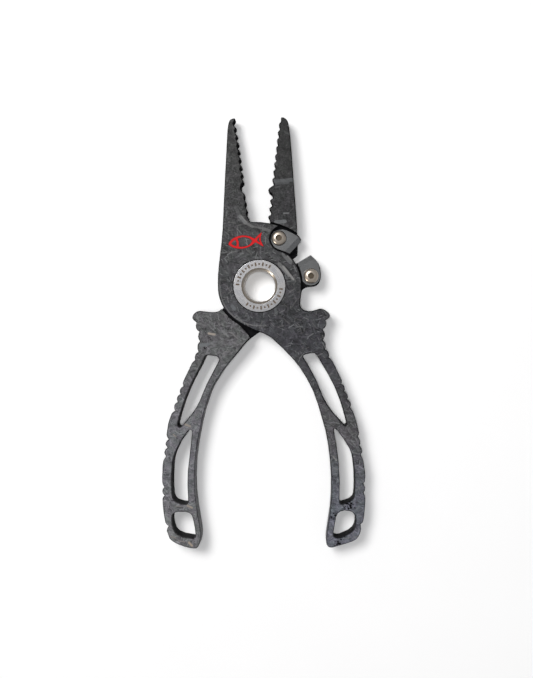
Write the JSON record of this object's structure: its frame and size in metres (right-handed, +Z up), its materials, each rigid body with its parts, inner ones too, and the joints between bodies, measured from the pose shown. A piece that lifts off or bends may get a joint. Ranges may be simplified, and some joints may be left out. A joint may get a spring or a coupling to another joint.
{
  "type": "fishing pliers",
  "caption": "Open-jaw fishing pliers with chopped-carbon arms, hollow flanged pivot, toothed jaws, replaceable side cutters and windowed handles with lanyard slots.",
  "frame": {"origin": "bottom centre of the overall bounding box: pliers lying flat, z = 0 on the back face they rest on", "axes": "+Z up through the thickness, +Y along the tool towards the jaws, +X towards the cutter side"},
  "size_m": [0.09, 0.1911, 0.0116],
  "materials": {
    "chopped_carbon": "satin compression-moulded chopped carbon fibre, charcoal with lighter fibre flakes, near-black cut edges",
    "titanium": "fine satin titanium",
    "bearing_polymer": "natural bearing polymer",
    "bronze": "turned bronze",
    "seal_rubber": "matt black rubber",
    "spring_steel": "drawn spring wire",
    "stainless": "bright stainless steel",
    "carbide": "ground tungsten carbide, mid grey",
    "red_enamel": "flush red enamel inlay"
  },
  "bodies": {
    "rear_half": {"rear_arm": "chopped_carbon", "pivot_sleeve": "titanium", "pivot_nut": "titanium", "rear_bush": "bearing_polymer", "front_thrust_washer": "bronze", "rear_thrust_washer": "bronze", "centre_thrust_washer": "bronze", "chamber_seal": "seal_rubber", "return_spring": "spring_steel", "stop_pin": "stainless", "lower_cutter": "carbide", "lower_cutter_screw": "stainless", "lower_cutter_insert": "bronze"},
    "front_half": {"front_arm": "chopped_carbon", "front_bush": "bearing_polymer", "upper_cutter": "carbide", "upper_cutter_screw": "stainless", "upper_cutter_insert": "bronze", "emblem_inlay": "red_enamel"}
  },
  "joints": [
    {"name": "jaw_pivot", "type": "hinge", "parent": "rear_half", "child": "front_half", "pos_m": [-0.00188, 0.0212, 0.0052], "axis": [0, 0, 1], "range_deg": [-15.3, 0], "stiffness_Nm_per_rad": 0.6, "springref_deg": 34.38, "deforming": ["return_spring"]}
  ]
}
